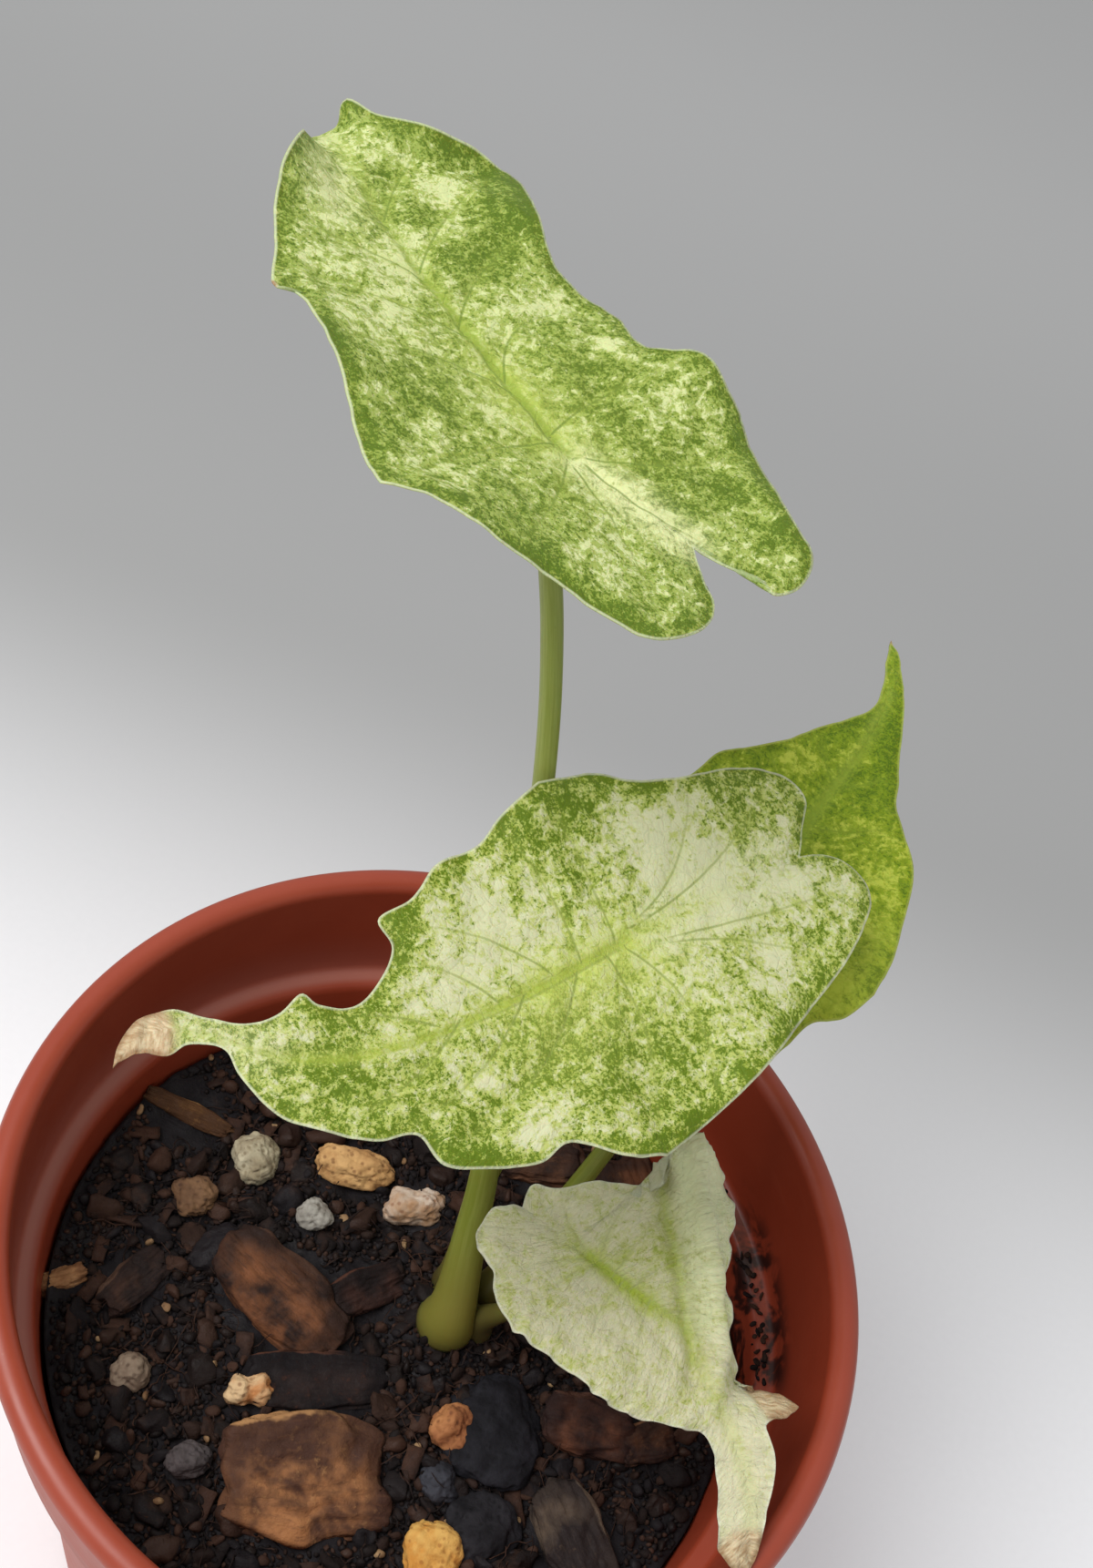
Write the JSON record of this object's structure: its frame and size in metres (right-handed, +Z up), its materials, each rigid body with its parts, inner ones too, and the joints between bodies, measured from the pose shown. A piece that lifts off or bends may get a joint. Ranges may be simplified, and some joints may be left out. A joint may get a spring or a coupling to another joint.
{
  "type": "potted alocasia",
  "caption": "Young variegated alocasia with arrow-shaped mottled leaves on slender petioles, growing from chunky potting mix in a round tapered nursery pot.",
  "frame": {"origin": "middle of the pot's underside, on the surface it stands on", "axes": "+Z up; +Y away from the front of the plant, from which it was pictured; +X to the right"},
  "size_m": [0.0984, 0.1157, 0.1609],
  "materials": {
    "pot": "satin terracotta-coloured moulded plastic",
    "soil": "moist dark peat and fine bark",
    "rootstock": "smooth pale green stem base",
    "petiole": "smooth olive green, faintly striped",
    "blade_top": "satin leaf, yellow-green with green mottling",
    "blade_middle": "satin leaf, cream with green speckle",
    "blade_rear": "satin leaf, mid green with yellow blotches",
    "blade_small": "soft leaf, near white with faint green and a dry tip",
    "bark": "rough fibrous brown bark",
    "grit_pale": "rough cream and grey pumice",
    "grit_tan": "rough tan and orange grit"
  },
  "bodies": {
    "root": {"pot": "pot", "soil": "soil", "rootstock": "rootstock", "petiole_top": "petiole", "petiole_middle": "petiole", "petiole_rear": "petiole", "petiole_small": "petiole", "blade_top": "blade_top", "blade_middle": "blade_middle", "blade_rear": "blade_rear", "blade_small": "blade_small", "bark_1": "bark", "bark_2": "bark", "bark_3": "bark", "bark_4": "bark", "bark_5": "bark", "pebble_cream_1": "grit_pale", "pebble_cream_2": "grit_pale", "pebble_white": "grit_pale", "pebble_pale": "grit_pale", "pebble_grey": "grit_pale", "pebble_tan_1": "grit_tan", "pebble_tan_2": "grit_tan", "pebble_tan_3": "grit_tan", "pebble_yellow": "grit_tan", "pebble_dim": "grit_tan"}
  },
  "joints": []
}
